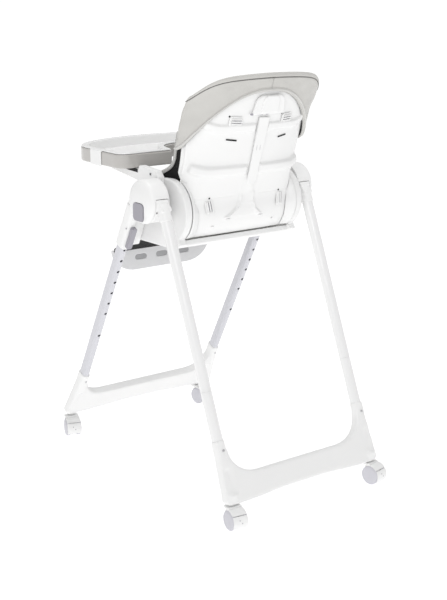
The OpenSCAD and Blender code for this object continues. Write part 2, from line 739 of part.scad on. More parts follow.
front_base();
left_front_tube();
right_front_tube();
left_hub();
right_hub();
left_hub_cover();
right_hub_cover();
hub_pins();
front_socket_screws();
left_fold_button();
right_fold_button();
rear_base();
left_rear_tube();
right_rear_tube();
rear_foot_tubes();
left_knuckle();
right_knuckle();
rear_socket_screws();
left_slider();
right_slider();
left_height_catch();
right_height_catch();
seat_base();
left_armrest();
right_armrest();
armrest_screws();
recline_pins();
seat_cushion();
side_liner();
waist_straps();
harness_buckle();
buckle_button();
back_shell();
back_cushion();
head_hood();
shoulder_straps();
strap_retainers();
spine_cover();
recline_housing();
recline_lever();
tray_base();
top_tray();
tray_release();
legrest_panel();
legrest_pad();
footrest();
legrest_pin();
front_left() castor_hood();  // front_left_hood
front_left() castor_wheels();  // front_left_wheels
front_left() castor_pedal();  // front_left_pedal
front_right() castor_hood();  // front_right_hood
front_right() castor_wheels();  // front_right_wheels
front_right() castor_pedal();  // front_right_pedal
rear_left() castor_hood();  // rear_left_hood
rear_left() castor_wheels();  // rear_left_wheels
rear_left() castor_pedal();  // rear_left_pedal
rear_right() castor_hood();  // rear_right_hood
rear_right() castor_wheels();  // rear_right_wheels
rear_right() castor_pedal();  // rear_right_pedal
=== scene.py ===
import json
import math

import bmesh
import bpy
import numpy as np
from mathutils import Matrix, Vector


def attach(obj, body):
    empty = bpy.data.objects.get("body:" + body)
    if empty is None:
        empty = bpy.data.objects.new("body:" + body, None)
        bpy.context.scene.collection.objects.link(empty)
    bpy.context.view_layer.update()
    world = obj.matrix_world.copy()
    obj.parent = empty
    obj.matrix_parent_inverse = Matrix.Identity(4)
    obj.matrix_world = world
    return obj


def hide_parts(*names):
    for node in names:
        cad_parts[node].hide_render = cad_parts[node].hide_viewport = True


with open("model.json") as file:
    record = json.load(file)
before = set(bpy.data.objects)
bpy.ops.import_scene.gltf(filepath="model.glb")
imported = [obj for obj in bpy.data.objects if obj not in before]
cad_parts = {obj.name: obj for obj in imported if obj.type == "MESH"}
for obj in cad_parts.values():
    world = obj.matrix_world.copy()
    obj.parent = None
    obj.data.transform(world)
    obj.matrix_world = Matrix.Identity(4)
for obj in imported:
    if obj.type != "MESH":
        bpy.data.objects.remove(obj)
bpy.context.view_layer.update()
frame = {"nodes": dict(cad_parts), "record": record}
N = frame["nodes"]

# ---------------------------------------------------------------- materials


def link(m, a, b):
    m.node_tree.links.new(a, b)


def node(m, kind, **values):
    n = m.node_tree.nodes.new(kind)
    for k, v in values.items():
        if k in n.inputs:
            n.inputs[k].default_value = v
        else:
            setattr(n, k, v)
    return n


def surface(name, color, rough, grain=900.0, bump=0.1, vary=0.02, rough_vary=0.08, metallic=0.0,
            coat=0.0, sheen=0.0, bevel=0.0, kind="noise", spec=0.5, patch=14.0, stretch=None):
    """A procedural material. Its grain, patches of colour and roughness all come from object-space noise."""
    m = bpy.data.materials.new(name)
    m.use_nodes = True
    m.diffuse_color = (*color, 1)
    p = m.node_tree.nodes["Principled BSDF"]
    p.inputs["Base Color"].default_value = (*color, 1)
    p.inputs["Metallic"].default_value = metallic
    p.inputs["Specular IOR Level"].default_value = spec
    p.inputs["Coat Weight"].default_value = coat
    p.inputs["Coat Roughness"].default_value = 0.12
    p.inputs["Sheen Weight"].default_value = sheen
    tex = node(m, "ShaderNodeTexCoord")
    place = node(m, "ShaderNodeMapping")
    if stretch:
        place.inputs["Scale"].default_value = stretch
    link(m, tex.outputs["Object"], place.inputs["Vector"])
    where = place.outputs["Vector"]
    # slow patches of colour and roughness
    cloud = node(m, "ShaderNodeTexNoise", Scale=patch, Detail=4.0)
    link(m, where, cloud.inputs["Vector"])
    ramp = node(m, "ShaderNodeMapRange")
    ramp.inputs["From Min"].default_value = 0.3
    ramp.inputs["From Max"].default_value = 0.7
    ramp.inputs["To Min"].default_value = 1.0 - vary
    ramp.inputs["To Max"].default_value = 1.0
    link(m, cloud.outputs["Fac"], ramp.inputs["Value"])
    tint = node(m, "ShaderNodeVectorMath", operation="SCALE")
    tint.inputs[0].default_value = color
    link(m, ramp.outputs["Result"], tint.inputs["Scale"])
    link(m, tint.outputs["Vector"], p.inputs["Base Color"])
    shine = node(m, "ShaderNodeMapRange")
    shine.inputs["To Min"].default_value = rough - rough_vary / 2
    shine.inputs["To Max"].default_value = rough + rough_vary / 2
    # fine grain
    if kind == "noise":
        fine = node(m, "ShaderNodeTexNoise", Scale=grain, Detail=3.0)
        height = fine.outputs["Fac"]
        link(m, where, fine.inputs["Vector"])
    elif kind == "leather":
        fine = node(m, "ShaderNodeTexVoronoi", Scale=grain, feature="DISTANCE_TO_EDGE")
        bend = node(m, "ShaderNodeTexNoise", Scale=grain * 0.35, Detail=2.0)
        link(m, where, bend.inputs["Vector"])
        mix = node(m, "ShaderNodeVectorMath", operation="MULTIPLY_ADD")
        mix.inputs[1].default_value = (0.0012, 0.0012, 0.0012)
        link(m, bend.outputs["Color"], mix.inputs[0])
        link(m, where, mix.inputs[2])
        link(m, mix.outputs["Vector"], fine.inputs["Vector"])
        edge = node(m, "ShaderNodeMapRange")
        edge.inputs["From Max"].default_value = 0.18
        link(m, fine.outputs["Distance"], edge.inputs["Value"])
        height = edge.outputs["Result"]
    else:
        # woven: two crossed sets of threads
        one = node(m, "ShaderNodeTexWave", Scale=grain, wave_type="BANDS", bands_direction="X")
        two = node(m, "ShaderNodeTexWave", Scale=grain, wave_type="BANDS", bands_direction="Z")
        link(m, where, one.inputs["Vector"])
        link(m, where, two.inputs["Vector"])
        both = node(m, "ShaderNodeMath", operation="MAXIMUM")
        link(m, one.outputs["Fac"], both.inputs[0])
        link(m, two.outputs["Fac"], both.inputs[1])
        height = both.outputs["Value"]
    link(m, height, shine.inputs["Value"])
    link(m, shine.outputs["Result"], p.inputs["Roughness"])
    relief = node(m, "ShaderNodeBump", Strength=bump, Distance=0.0004)
    link(m, height, relief.inputs["Height"])
    if bevel:
        soft = node(m, "ShaderNodeBevel", samples=6)
        soft.inputs["Radius"].default_value = bevel
        link(m, soft.outputs["Normal"], relief.inputs["Normal"])
    link(m, relief.outputs["Normal"], p.inputs["Normal"])
    return m


WHITE = surface("white_shell_plastic", (0.885, 0.885, 0.882), 0.38, grain=1500, bump=0.10, vary=0.012)
WHITE_EDGE = surface("white_part_plastic", (0.885, 0.885, 0.882), 0.36, grain=1500, bump=0.08, bevel=0.0012,
                     vary=0.012)
TUBE_GREY = surface("grey_tube_paint", (0.66, 0.66, 0.70), 0.33, grain=2400, bump=0.12, bevel=0.0006,
                    coat=0.15)
TUBE_WHITE = surface("white_tube_paint", (0.885, 0.885, 0.885), 0.24, grain=2400, bump=0.06, bevel=0.0006,
                     coat=0.3)
# grey of the buttons; also painted shade in the finger recesses and between the retainer bars
BUTTON_AND_GAP_SHADE = surface("button_plastic", (0.36, 0.35, 0.39), 0.40, grain=1300, bump=0.16, bevel=0.0014)
# light grey parts; also painted shade in the spine's slits
LIGHT_GREY_AND_SLIT_SHADE = surface("light_grey_plastic", (0.76, 0.76, 0.77), 0.42, grain=1300, bump=0.14, bevel=0.001)
WHEEL = surface("wheel_plastic", (0.62, 0.615, 0.66), 0.42, grain=900, bump=0.15, bevel=0.0008)
TRAY_GREY = surface("tray_grey_gloss", (0.52, 0.505, 0.485), 0.16, grain=2600, bump=0.03, coat=0.5, vary=0.02)
TRAY_WHITE = surface("tray_white_gloss", (0.885, 0.885, 0.882), 0.22, grain=2600, bump=0.03, coat=0.3,
                     vary=0.01)
STEEL = surface("brushed_steel", (0.62, 0.62, 0.63), 0.30, grain=500, bump=0.15, metallic=1.0, bevel=0.0003,
                stretch=(0.1, 1, 1))
PAD = surface("pad_leather", (0.56, 0.56, 0.545), 0.52, grain=520, bump=0.35, kind="leather", vary=0.05,
              sheen=0.1)
HOOD = surface("hood_leather", (0.60, 0.59, 0.565), 0.50, grain=560, bump=0.30, kind="leather", vary=0.05,
               sheen=0.1)
PIPING = surface("hood_piping", (0.155, 0.15, 0.145), 0.55, grain=800, bump=0.3, kind="leather")
WELT = surface("light_piping", (0.66, 0.655, 0.635), 0.5, grain=800, bump=0.3, kind="leather")
BLACK = surface("black_liner_cloth", (0.010, 0.010, 0.010), 0.80, grain=260, bump=0.6, kind="weave",
                sheen=0.04,
                vary=0.2, spec=0.2)
# near-black: painted shade for the strap slots and the armrest gaps; also the dark screws and dots
DARK_MARKS_AND_GAP_SHADE = surface("dark_marks_and_gap_shade", (0.012, 0.012, 0.013), 0.8, grain=700, bump=0.1, vary=0.1)
WEB = surface("strap_webbing", (0.20, 0.20, 0.205), 0.72, grain=190, bump=0.7, kind="weave", sheen=0.2,
              vary=0.1)
# painted shade: the grey that stands for the dark inside of the footrest's slots
FOOT_SLOT_SHADE = surface("foot_pad_rubber", (0.40, 0.40, 0.41), 0.55, grain=900, bump=0.3)
THREAD = surface("stitch_thread", (0.55, 0.545, 0.53), 0.7, grain=1800, bump=0.5)

SLOT_MATERIAL = {
    "white_plastic": WHITE_EDGE, "grey_tube": TUBE_GREY, "white_tube": TUBE_WHITE, "button_plastic": BUTTON_AND_GAP_SHADE,
    "light_plastic": LIGHT_GREY_AND_SLIT_SHADE, "wheel_plastic": WHEEL, "tray_grey": TRAY_GREY, "tray_white": TRAY_WHITE,
    "steel": STEEL, "seat_leather": PAD, "hood_leather": HOOD, "black_liner": BLACK, "webbing": WEB,
}
SLOT_OF = {s["node"]: s["material_slot"] for s in frame["record"]["subparts"]}
BODY_OF = {n: b for b, ns in frame["record"]["behaviour"]["bodies"].items() for n in ns}
for n, o in N.items():
    o.data.materials.clear()
    o.data.materials.append(SLOT_MATERIAL[SLOT_OF[n]])
    for poly in o.data.polygons:
        poly.use_smooth = True
    with_angle = o.modifiers.new("angle", "EDGE_SPLIT")
    with_angle.split_angle = math.radians(32)

# ---------------------------------------------------------------- mesh tools


def add(name, me, material, body, replaces=(), smooth=True):
    o = bpy.data.objects.new(name, me)
    bpy.context.scene.collection.objects.link(o)
    if material is not None:
        me.materials.clear()
        me.materials.append(material)
    if smooth:
        for poly in me.polygons:
            poly.use_smooth = True
    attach(o, body)
    if replaces:
        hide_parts(*replaces)
    return o


def bake(o):
    """Replace an object's mesh by its evaluated one."""
    dg = bpy.context.evaluated_depsgraph_get()
    me = bpy.data.meshes.new_from_object(o.evaluated_get(dg))
    o.modifiers.clear()
    o.data = me
    for poly in me.polygons:
        poly.use_smooth = True
    return o


def merged(names):
    bm = bmesh.new()
    for n in names:
        bm.from_mesh(N[n].data)
    bmesh.ops.remove_doubles(bm, verts=bm.verts, dist=1e-6)
    me = bpy.data.meshes.new("merged")
    bm.to_mesh(me)
    bm.free()
    return me


def soften(name, names, voxel, steps, material, hold=None, shape=None, ratio=1.0):
    """A moulded version of CAD nodes: every edge rounded, at most a little smaller.

    hold gives 0..1 per vertex."""
    me = merged(names)
    if shape:
        shape(me)
    o = add(name, me, material, BODY_OF[names[0]], names)
    r = o.modifiers.new("remesh", "REMESH")
    r.mode = "VOXEL"
    r.voxel_size = voxel * 1
    bake(o)
    me = o.data
    me.materials.clear()
    me.materials.append(material)
    if steps:
        group = o.vertex_groups.new(name="free")
        co = np.zeros(len(me.vertices) * 3)
        me.vertices.foreach_get("co", co)
        co = co.reshape(-1, 3)
        w = np.ones(len(co)) if hold is None else np.clip(hold(co), 0, 1)
        for step in range(11):
            chosen = np.nonzero(np.round(w * 10) == step)[0]
            if len(chosen):
                group.add(chosen.tolist(), step / 10, "REPLACE")
        s = o.modifiers.new("smooth", "SMOOTH")
        s.factor = 0.5
        s.iterations = max(1, steps // (1))
        s.vertex_group = "free"
    if ratio < 1:
        d = o.modifiers.new("fewer", "DECIMATE")
        d.ratio = ratio
    bake(o)
    o.vertex_groups.clear()
    return o


def grid_mesh(name, rows, closed_u=False, closed_v=False):
    """A quad mesh from a (v, u, 3) array of points."""
    rows = np.asarray(rows)
    nv, nu = rows.shape[:2]
    faces = []
    for i in range(nv if closed_v else nv - 1):
        for j in range(nu if closed_u else nu - 1):
            a, b = i * nu + j, i * nu + (j + 1) % nu
            c, d = ((i + 1) % nv) * nu + (j + 1) % nu, ((i + 1) % nv) * nu + j
            faces.append((a, b, c, d))
    me = bpy.data.meshes.new(name)
    me.from_pydata(rows.reshape(-1, 3).tolist(), [], faces)
    me.validate()
    return me


def tube(name, points, radius, material, body, cyclic=False, sides=3):
    """A round cord along points."""
    c = bpy.data.curves.new(name, "CURVE")
    c.dimensions = "3D"
    c.bevel_depth = radius
    c.bevel_resolution = sides
    c.use_fill_caps = True
    s = c.splines.new("POLY")
    s.points.add(len(points) - 1)
    for p, q in zip(s.points, points):
        p.co = (*q, 1)
    s.use_cyclic_u = cyclic
    o = bpy.data.objects.new(name, c)
    bpy.context.scene.collection.objects.link(o)
    dg = bpy.context.evaluated_depsgraph_get()
    me = bpy.data.meshes.new_from_object(o.evaluated_get(dg))
    bpy.data.objects.remove(o)
    return add(name, me, material, body)


def plate(name, outline, thick, bevel, place, material, body, replaces=()):
    """A flat plate with a rounded edge. outline is in the plate's own x, y; place puts its z outwards."""
    c = bpy.data.curves.new(name, "CURVE")
    c.dimensions = "2D"
    c.fill_mode = "BOTH"
    c.extrude = max(1e-5, thick / 2 - bevel)
    c.bevel_depth = bevel
    c.bevel_resolution = 3
    c.offset = -bevel
    s = c.splines.new("POLY")
    s.points.add(len(outline) - 1)
    for p, q in zip(s.points, outline):
        p.co = (q[0], q[1], 0, 1)
    s.use_cyclic_u = True
    o = bpy.data.objects.new(name, c)
    bpy.context.scene.collection.objects.link(o)
    dg = bpy.context.evaluated_depsgraph_get()
    me = bpy.data.meshes.new_from_object(o.evaluated_get(dg))
    bpy.data.objects.remove(o)
    me.transform(place @ Matrix.Translation((0, 0, thick / 2)))
    return add(name, me, material, body, replaces)


def rounded(w, h, r, n=6):
    pts = []
    for cx, cy, a0 in ((w / 2 - r, h / 2 - r, 0), (r - w / 2, h / 2 - r, 90), (r - w / 2, r - h / 2, 180),
                       (w / 2 - r, r - h / 2, 270)):
        for i in range(n + 1):
            a = math.radians(a0 + 90 * i / n)
            pts.append((cx + r * math.cos(a), cy + r * math.sin(a)))
    return pts


def disc(name, centre, normal, radius, material, body, depth=0.0006):
    m = Matrix.Translation(centre) @ Vector(normal).to_track_quat("Z", "Y").to_matrix().to_4x4()
    return plate(name, rounded(2 * radius, 2 * radius, radius * 0.98), depth, depth * 0.3, m, material, body)


# ---------------------------------------------------------------- the back's shape

TILT = math.tan(math.radians(18.5))


def back_y(z):
    low = 0.05 + np.sqrt(np.maximum(0, 0.079 ** 2 - (z - 0.722) ** 2))
    return np.where(z < 0.744, low, 0.12588 + (z - 0.744) * TILT)


def edge_y(z):
    y = np.interp(z, [0.806, 0.846, 0.895, 1.1], [0.077, 0.095, 0.108, 0.108 + 0.205 * 0.45])
    return np.where(z < 0.806, np.minimum(back_y(z) - 0.008, 0.077), y)


def half_w(z):
    return np.interp(z, [0.8, 0.822, 0.89], [0.1645, 0.176, 0.180])


def section(z):
    return np.interp(z, [0.8, 0.85, 0.93], [0.62, 1.0, 1.12])


def hood_edge_y(z):
    return 0.097 + 0.25 * (z - 0.879) + 1.6 * (z - 0.879) ** 2


def top_z(k):
    return 1.058 - 0.012 * k ** 2 - 0.040 * k ** 8


def back_point(a, z, d, hood=False):
    """Points of the back's wall. a in radians round it, d outwards."""
    if hood:
        w = np.interp(z, [0.87, 0.986], [0.196, 0.202]) + d
        ye = hood_edge_y(z)
        yc = back_y(z) + 0.009 + d
        e = np.interp(z, [0.88, 0.98], [0.97, 1.1])
    else:
        w, ye, yc, e = half_w(z) + d, edge_y(z), back_y(z) + d, section(z)
    s, c = np.sin(a), np.maximum(np.cos(a), 0)
    return np.stack([w * np.sign(s) * np.abs(s) ** e, ye + (yc - ye) * c ** e, z + 0 * a], -1)


def bump(x, centre, half, sharp=4):
    return np.exp(-np.abs((x - centre) / half) ** sharp)


def step(x, a, b):
    t = np.clip((x - a) / (b - a), 0, 1)
    return t * t * (3 - 2 * t)


def shell_relief(x, z, a):
    """How far the back's rear face stands out, in metres."""
    ax = np.abs(x)
    rise = np.clip((ax - 0.105) / 0.055, 0, 2) ** 2 * 0.020
    upper = 0.0072 * bump(z, 0.931 + rise, 0.0102, 5) * step(ax, 0.016, 0.022) * (1 - step(ax, 0.156, 0.168))
    rise = np.clip((ax - 0.118) / 0.060, 0, 2) ** 2 * 0.020
    lower = 0.0085 * bump(z, 0.8230 + rise, 0.0128, 5) * step(ax, 0.016, 0.022) * (1 - step(ax, 0.170, 0.180))
    left = np.interp(z, [0.699, 0.702, 0.711, 0.727, 0.746, 0.778, 0.806],
                     [0.062, 0.057, 0.042, 0.026, 0.017, 0.0105, 0.013])
    right = np.interp(z, [0.697, 0.702, 0.719, 0.735, 0.749, 0.783, 0.806],
                      [-0.049, -0.042, -0.026, -0.021, -0.018, -0.010, -0.012])
    slope = 1 + 1.2 * step(0.72 - z, 0.0, 0.02)
    ends = step(z, 0.699, 0.704) * (1 - step(z, 0.792, 0.806))
    legs = 0.0062 * np.maximum(bump(x, left, 0.0042 * slope, 3), bump(x, right, 0.0042 * slope, 3)) * ends
    legs = np.maximum(legs, 0.0010 * step(x, right, right + 0.003) * (1 - step(x, left - 0.003, left)) * ends)
    rim = (back_y(z) - edge_y(z)) * np.maximum(np.cos(a), 0) ** section(z)
    bead = 0.0020 * bump(rim, 0.0125, 0.0022, 3) + 0.0016 * (1 - step(rim, 0.0025, 0.0045))
    bead = bead * step(z, 0.80, 0.83)
    waist = -0.0009 * bump(z, 0.757, 0.0024, 2) * (1 - step(ax, 0.140, 0.150)) * step(ax, 0.03, 0.05)
    inside = step(rim, 0.022, 0.034)
    return (upper + lower) * inside + legs + bead + waist


def build_shell():
    na, nv = ((260, 300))
    t = np.linspace(-1, 1, na)
    a = np.radians(90) * np.sign(t) * np.abs(t) ** 0.9
    k = np.abs(np.sin(a))
    hi = top_z(k)
    v = np.linspace(0, 1, nv)[:, None]
    z = 0.6555 + (hi - 0.6555) * v
    aa = np.broadcast_to(a, z.shape)
    flat = back_point(aa, z, 0.0)
    d = shell_relief(flat[..., 0], z, aa)
    easy = flat.copy()
    for _ in range(160):
        easy[1:-1, :, 1] = (easy[:-2, :, 1] + 2 * easy[1:-1, :, 1] + easy[2:, :, 1]) / 4
    outer = back_point(aa, z, d) + (easy - flat)
    me = grid_mesh("back_shell_body", outer)
    o = add("back_shell_body", me, WHITE, "backrest", ["back_shell"])
    s = o.modifiers.new("wall", "SOLIDIFY")
    s.thickness = 0.0045
    s.offset = -1.0
    b = o.modifiers.new("edge", "BEVEL")
    b.width = 0.0014
    b.segments = 3
    b.limit_method = "ANGLE"
    b.angle_limit = math.radians(60)
    return o


shell = build_shell()
# the solidified wall has to go inwards: turn the faces if they look in
centre_face = min(shell.data.polygons, key=lambda f: abs(f.center.x) + abs(f.center.z - 0.87))
if centre_face.normal.y < 0:
    shell.data.flip_normals()
bake(shell)

# both recline pins, in one piece
soften("left_pivot_ear", ["recline_pins"], 0.0012, 0, STEEL)


def on_back(x, z, off=0.0, roll=0.0):
    """A frame on the back's rear face: z points outwards and y up the back."""
    k = min(1.0, abs(x) / float(half_w(z)))
    e = float(section(z))
    s = k ** (1 / e)
    a = math.asin(s) * (1 if x >= 0 else -1)

    def at(aa, zz):
        return Vector(back_point(np.array([aa]), np.array([zz]), np.array([off]))[0])

    p = at(a, z)
    side = (at(a + 0.01, z) - at(a - 0.01, z)).normalized()
    up = (at(a, z + 0.002) - at(a, z - 0.002)).normalized()
    out = side.cross(up).normalized()
    if out.y < 0:
        out = -out
    right = up.cross(out).normalized()
    m = Matrix((right, up, out)).transposed().to_4x4()
    return Matrix.Translation(p) @ m @ Matrix.Rotation(roll, 4, "Z")


# spine cover, housing and lever; grey plates of painted shade mark the spine's slits and the housing's finger
# recesses
plate("spine_strip", [(-0.0165, 0.085), (-0.0105, -0.086), (-0.0090, -0.097), (0.0110, -0.097), (0.0165,
                                                                                                 -0.086),
                      (0.0165, 0.085)], 0.0056, 0.0024, on_back(0, 0.877,
                                                                0.0012), WHITE, "backrest",
      ["spine_cover"])
# painted shade: the two slits in the spine are light grey plates
for s in (1, -1):
    plate("spine_slit_%s" % ("a" if s > 0 else "b"), rounded(0.0016, 0.013, 0.0007), 0.0006, 0.0001,
          on_back(0.0052 * s, 0.879, 0.0072), LIGHT_GREY_AND_SLIT_SHADE, "backrest")


def soft_polygon(corners, n=8):
    """A polygon whose corners are rounded, each given as (x, y, radius)."""
    pts = []
    m = len(corners)
    for i in range(m):
        p0, p1, p2 = Vector(corners[i - 1][:2]), Vector(corners[i][:2]), Vector(corners[(i + 1) % m][:2])
        r = corners[i][2]
        u, v = (p0 - p1).normalized(), (p2 - p1).normalized()
        half = math.acos(max(-1, min(1, u.dot(v)))) / 2
        d = r / math.tan(half)
        a, b = p1 + u * d, p1 + v * d
        for j in range(n + 1):
            t = j / n
            q = a * (1 - t) ** 2 + p1 * 2 * t * (1 - t) + b * t ** 2
            pts.append((q.x, q.y))
    return pts


plate("recline_cover", soft_polygon([(-0.040, -0.004, 0.006), (0.058, -0.004, 0.006), (0.050, 0.047, 0.024),
                                     (-0.034, 0.047, 0.024)]), 0.0060, 0.0040, on_back(0, 0.968,
                                                                                       0.0006), WHITE,
      "backrest", ["recline_housing"])
plate("recline_cover_crown", soft_polygon([(-0.019, 0.000, 0.006), (0.036, 0.000, 0.006), (0.031, 0.0455,
                                                                                           0.014),
                                           (-0.016, 0.0455, 0.014)]), 0.0046, 0.0034, on_back(0, 0.968,
                                                                                              0.0058), WHITE,
      "backrest")
# painted shade: grey plates under the housing's lower edge stand for the shade in its finger recesses
for i, (x, w) in enumerate(((0.040, 0.010), (0.017, 0.017), (-0.004, 0.012), (-0.044, 0.008))):
    plate("finger_gap_%d" % i, rounded(w, 0.0050, 0.0024), 0.0012, 0.0004, on_back(x, 0.9655, 0.0062), BUTTON_AND_GAP_SHADE,
          "backrest")
plate("lever_bar", soft_polygon([(-0.034, -0.004, 0.002), (0.034, -0.004, 0.002), (0.030, 0.024, 0.004),
                                 (-0.030, 0.024, 0.004)]), 0.003, 0.001, on_back(0, 0.974, 0.0014), WHITE,
      "lever", ["recline_lever"])

# strap slots, retainers and their dots; the slots and the gaps between the retainer bars are plates of
# painted shade
for s in (1, -1):
    side = "left" if s > 0 else "right"
    # painted shade: a near-black plate stands for the dark inside of each strap slot
    plate("slot_shade_" + side, rounded(0.030, 0.0040, 0.0018), 0.0010, 0.0004,
          on_back(0.079 * s, 0.903, 0.0004), DARK_MARKS_AND_GAP_SHADE,
          "backrest")
    for high, (cx, cz, roll) in enumerate(((0.110, 0.733, 0.12), (0.078, 0.950, 0.0))):
        tag = "%s_%s" % (side, "upper" if high else "lower")
        m = on_back(cx * s, cz, 0.0012 if high else 0.0020, roll * s + (math.pi / 2 if not high else 0))
        plate("retainer_plate_" + tag, rounded(0.036, 0.024, 0.004), 0.0020, 0.0008, m, WHITE, "backrest")
        for i, dy in enumerate((-0.0062, 0.0, 0.0062)):
            plate("retainer_bar_%s_%d" % (tag, i), rounded(0.030, 0.0036, 0.0016), 0.0052, 0.0014,
                  m @ Matrix.Translation((0.002, dy, 0.0010)), WHITE, "backrest")
        # painted shade between the retainer bars
        for i, dy in enumerate((-0.0031, 0.0031)):
            plate("retainer_gap_%s_%d" % (tag, i), rounded(0.026, 0.0022, 0.0008), 0.0004, 0.0001,
                  m @ Matrix.Translation((0.002, dy, 0.0021)), BUTTON_AND_GAP_SHADE, "backrest")
        dx, dz = (0.0185, 0.0125) if high else (0.002, 0.0235)
        plate("retainer_dot_" + tag, rounded(0.0044, 0.0044, 0.0021), 0.0010, 0.0003,
              on_back(cx * s + dx, cz + dz, 0.0003), DARK_MARKS_AND_GAP_SHADE, "backrest")
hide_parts("strap_retainers")
for i, (x, z, w) in enumerate(((0.152, 0.700, 0.020), (0.052, 0.697, 0.012), (-0.052, 0.697, 0.012),
                               (-0.152, 0.700, 0.020), (0.096, 0.682, 0.007), (-0.096, 0.682, 0.007))):
    plate("shell_tab_%d" % i, rounded(w, 0.0042, 0.0018), 0.0030, 0.0010, on_back(x, z, -0.0004), WHITE,
          "backrest")

# ---------------------------------------------------------------- the hood


def build_hood():
    na, nv = ((240, 90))
    a = np.radians(np.linspace(-90, 90, na))
    k = np.abs(np.sin(a))
    lo = 1.020 - 0.140 * k ** 2.6
    hi = top_z(k) + 0.008
    v = np.linspace(0, 1, nv)[:, None]
    z = lo + (hi - lo) * v
    aa = np.broadcast_to(a, z.shape)
    s, t = z - lo, hi - z
    x = np.sin(aa) * 0.2
    drape = 0.0014 * np.sin(x * 61 + z * 43) * np.sin(z * 97 + x * 23) + 0.0008 * np.sin(x * 140 - z * 60)
    middle = step(s, 0.008, 0.03) * step(t, 0.012, 0.03)
    d = drape * middle
    d = d + 0.0012 * (1 - step(s, 0.0075, 0.0090)) - 0.0010 * bump(s, 0.0098, 0.0012, 2)
    d = d - 0.0016 * bump(t, 0.0125, 0.0013, 2)
    r = 0.0138
    lean = r - np.sqrt(np.maximum(0, r * r - np.clip(0.0120 - t, 0, r) ** 2))
    d = d - lean * 0.9
    pull = 0.0012 * bump(aa, 0.0, 0.010, 2) * step(t, 0.010, 0.014) + 0.0010 * bump(aa, 0.0, 0.05, 2)
    d = d - pull * step(t, 0.010, 0.014)
    hem = 0.004
    d = d - (hem - np.sqrt(np.maximum(0, hem ** 2 - np.clip(hem - s, 0, hem) ** 2))) * 0.8
    front = 0.0035
    side_in = np.clip(np.abs(aa) - np.radians(84.5), 0, 1) / np.radians(5.5)
    d = d - front * side_in ** 2
    outer = back_point(aa, z, d, True)
    inner = back_point(aa, z, np.full_like(z, -0.007) + drape * 0.3, True)
    rows = np.concatenate([outer, inner[::-1]], 0)
    me = grid_mesh("head_hood_cover", rows, closed_v=True)
    bm = bmesh.new()
    bm.from_mesh(me)
    bmesh.ops.holes_fill(bm, edges=[e for e in bm.edges if e.is_boundary], sides=0)
    bmesh.ops.recalc_face_normals(bm, faces=bm.faces)
    bm.to_mesh(me)
    bm.free()
    o = add("head_hood_cover", me, HOOD, "backrest", ["head_hood"])
    me.materials.append(BLACK)
    inner_rows = nv
    for poly in me.polygons:
        ids = [i // na for i in poly.vertices]
        if min(ids) > inner_rows + 1 and max(ids) < 2 * nv - 2:
            poly.material_index = 1
    # dark seam below the top edge
    seam_z = hi - 0.0125
    line = back_point(a, seam_z, np.full_like(a, -0.0004), True)
    tube("hood_seam", line[2:-2].tolist(), 0.0009, PIPING, "backrest")
    hem_z = lo + 0.0042
    line = back_point(a, hem_z, np.full_like(a, 0.0008), True)
    tube("hood_hem_welt", line.tolist(), 0.0022, WELT, "backrest")
    zz = np.linspace(1.024, hi[na // 2] - 0.014, 20)
    line = back_point(np.zeros(20), zz, np.full(20, -0.0009), True)
    tube("hood_mid_seam", line.tolist(), 0.0005, THREAD, "backrest")
    return o


hood = build_hood()

# ---------------------------------------------------------------- moulded frame parts

LEG_X = 0.227
FRONT_STEM = -0.404
REAR_STEM = 0.371
TRAIL = 0.016
WHEEL_R = 0.025
WHEEL_W = 0.011
STEM = {"front_left": (1, FRONT_STEM, -18), "front_right": (-1, FRONT_STEM, 10),
        "rear_left": (1, REAR_STEM, -6),
        "rear_right": (-1, REAR_STEM, 12)}


def castor_cover(c):
    """The white skins that cover both treads of a twin castor: one over the top, one on the brake pedal."""
    sx, y, turn = STEM[c]
    place = Matrix.Translation((sx * LEG_X, y, 0)) @ Matrix.Rotation(math.radians(turn), 4, "Z")
    place = place @ Matrix.Translation((0, TRAIL, WHEEL_R))
    half = 0.0095 + 0.0005 + WHEEL_W - 0.0012
    for tag, a0, a1, body in (("top", 40, 128, c + "_castor"), ("rear", -34, 36, c + "_brake")):
        rows = []
        for i in range(26):
            a = math.radians(a0 + (a1 - a0) * i / 25)
            ring = []
            for x, r in profile(half):
                ring.append(tuple(place @ Vector((x, r * math.cos(a), r * math.sin(a)))))
            rows.append(ring)
        me = grid_mesh("%s_%s_cover" % (c, tag), np.array(rows), closed_u=True)
        bm = bmesh.new()
        bm.from_mesh(me)
        bmesh.ops.holes_fill(bm, edges=[e for e in bm.edges if e.is_boundary], sides=0)
        bmesh.ops.recalc_face_normals(bm, faces=bm.faces)
        bm.to_mesh(me)
        bm.free()
        o = add("%s_%s_cover" % (c, tag), me, WHITE, body)
        e = o.modifiers.new("edge", "EDGE_SPLIT")
        e.split_angle = math.radians(35)
    for i, (x, a) in enumerate(((0.0035, 14), (-0.0030, -2))):
        a = math.radians(a)
        r = WHEEL_R + 0.0030
        p = place @ Vector((x, r * math.cos(a), r * math.sin(a)))
        n = place.to_3x3() @ Vector((0, math.cos(a), math.sin(a)))
        disc("%s_pedal_mark_%d" % (c, i), p, n, 0.0013, BUTTON_AND_GAP_SHADE, c + "_brake", 0.0005)


def profile(half):
    """Closed outline of a cover's wall, as (sideways, radius)."""
    pts = []
    lo, hi = WHEEL_R + 0.0006, WHEEL_R + 0.0031
    for i in range(9):
        x = -half + 2 * half * i / 8
        pts.append((x, hi - 0.0010 * (x / half) ** 4))
    pts.append((half, lo))
    pts.append((-half, lo))
    return pts


FRONT_LEG = (-0.4287, math.radians(28.05))
REAR_LEG = (0.3949, math.radians(-22.3))


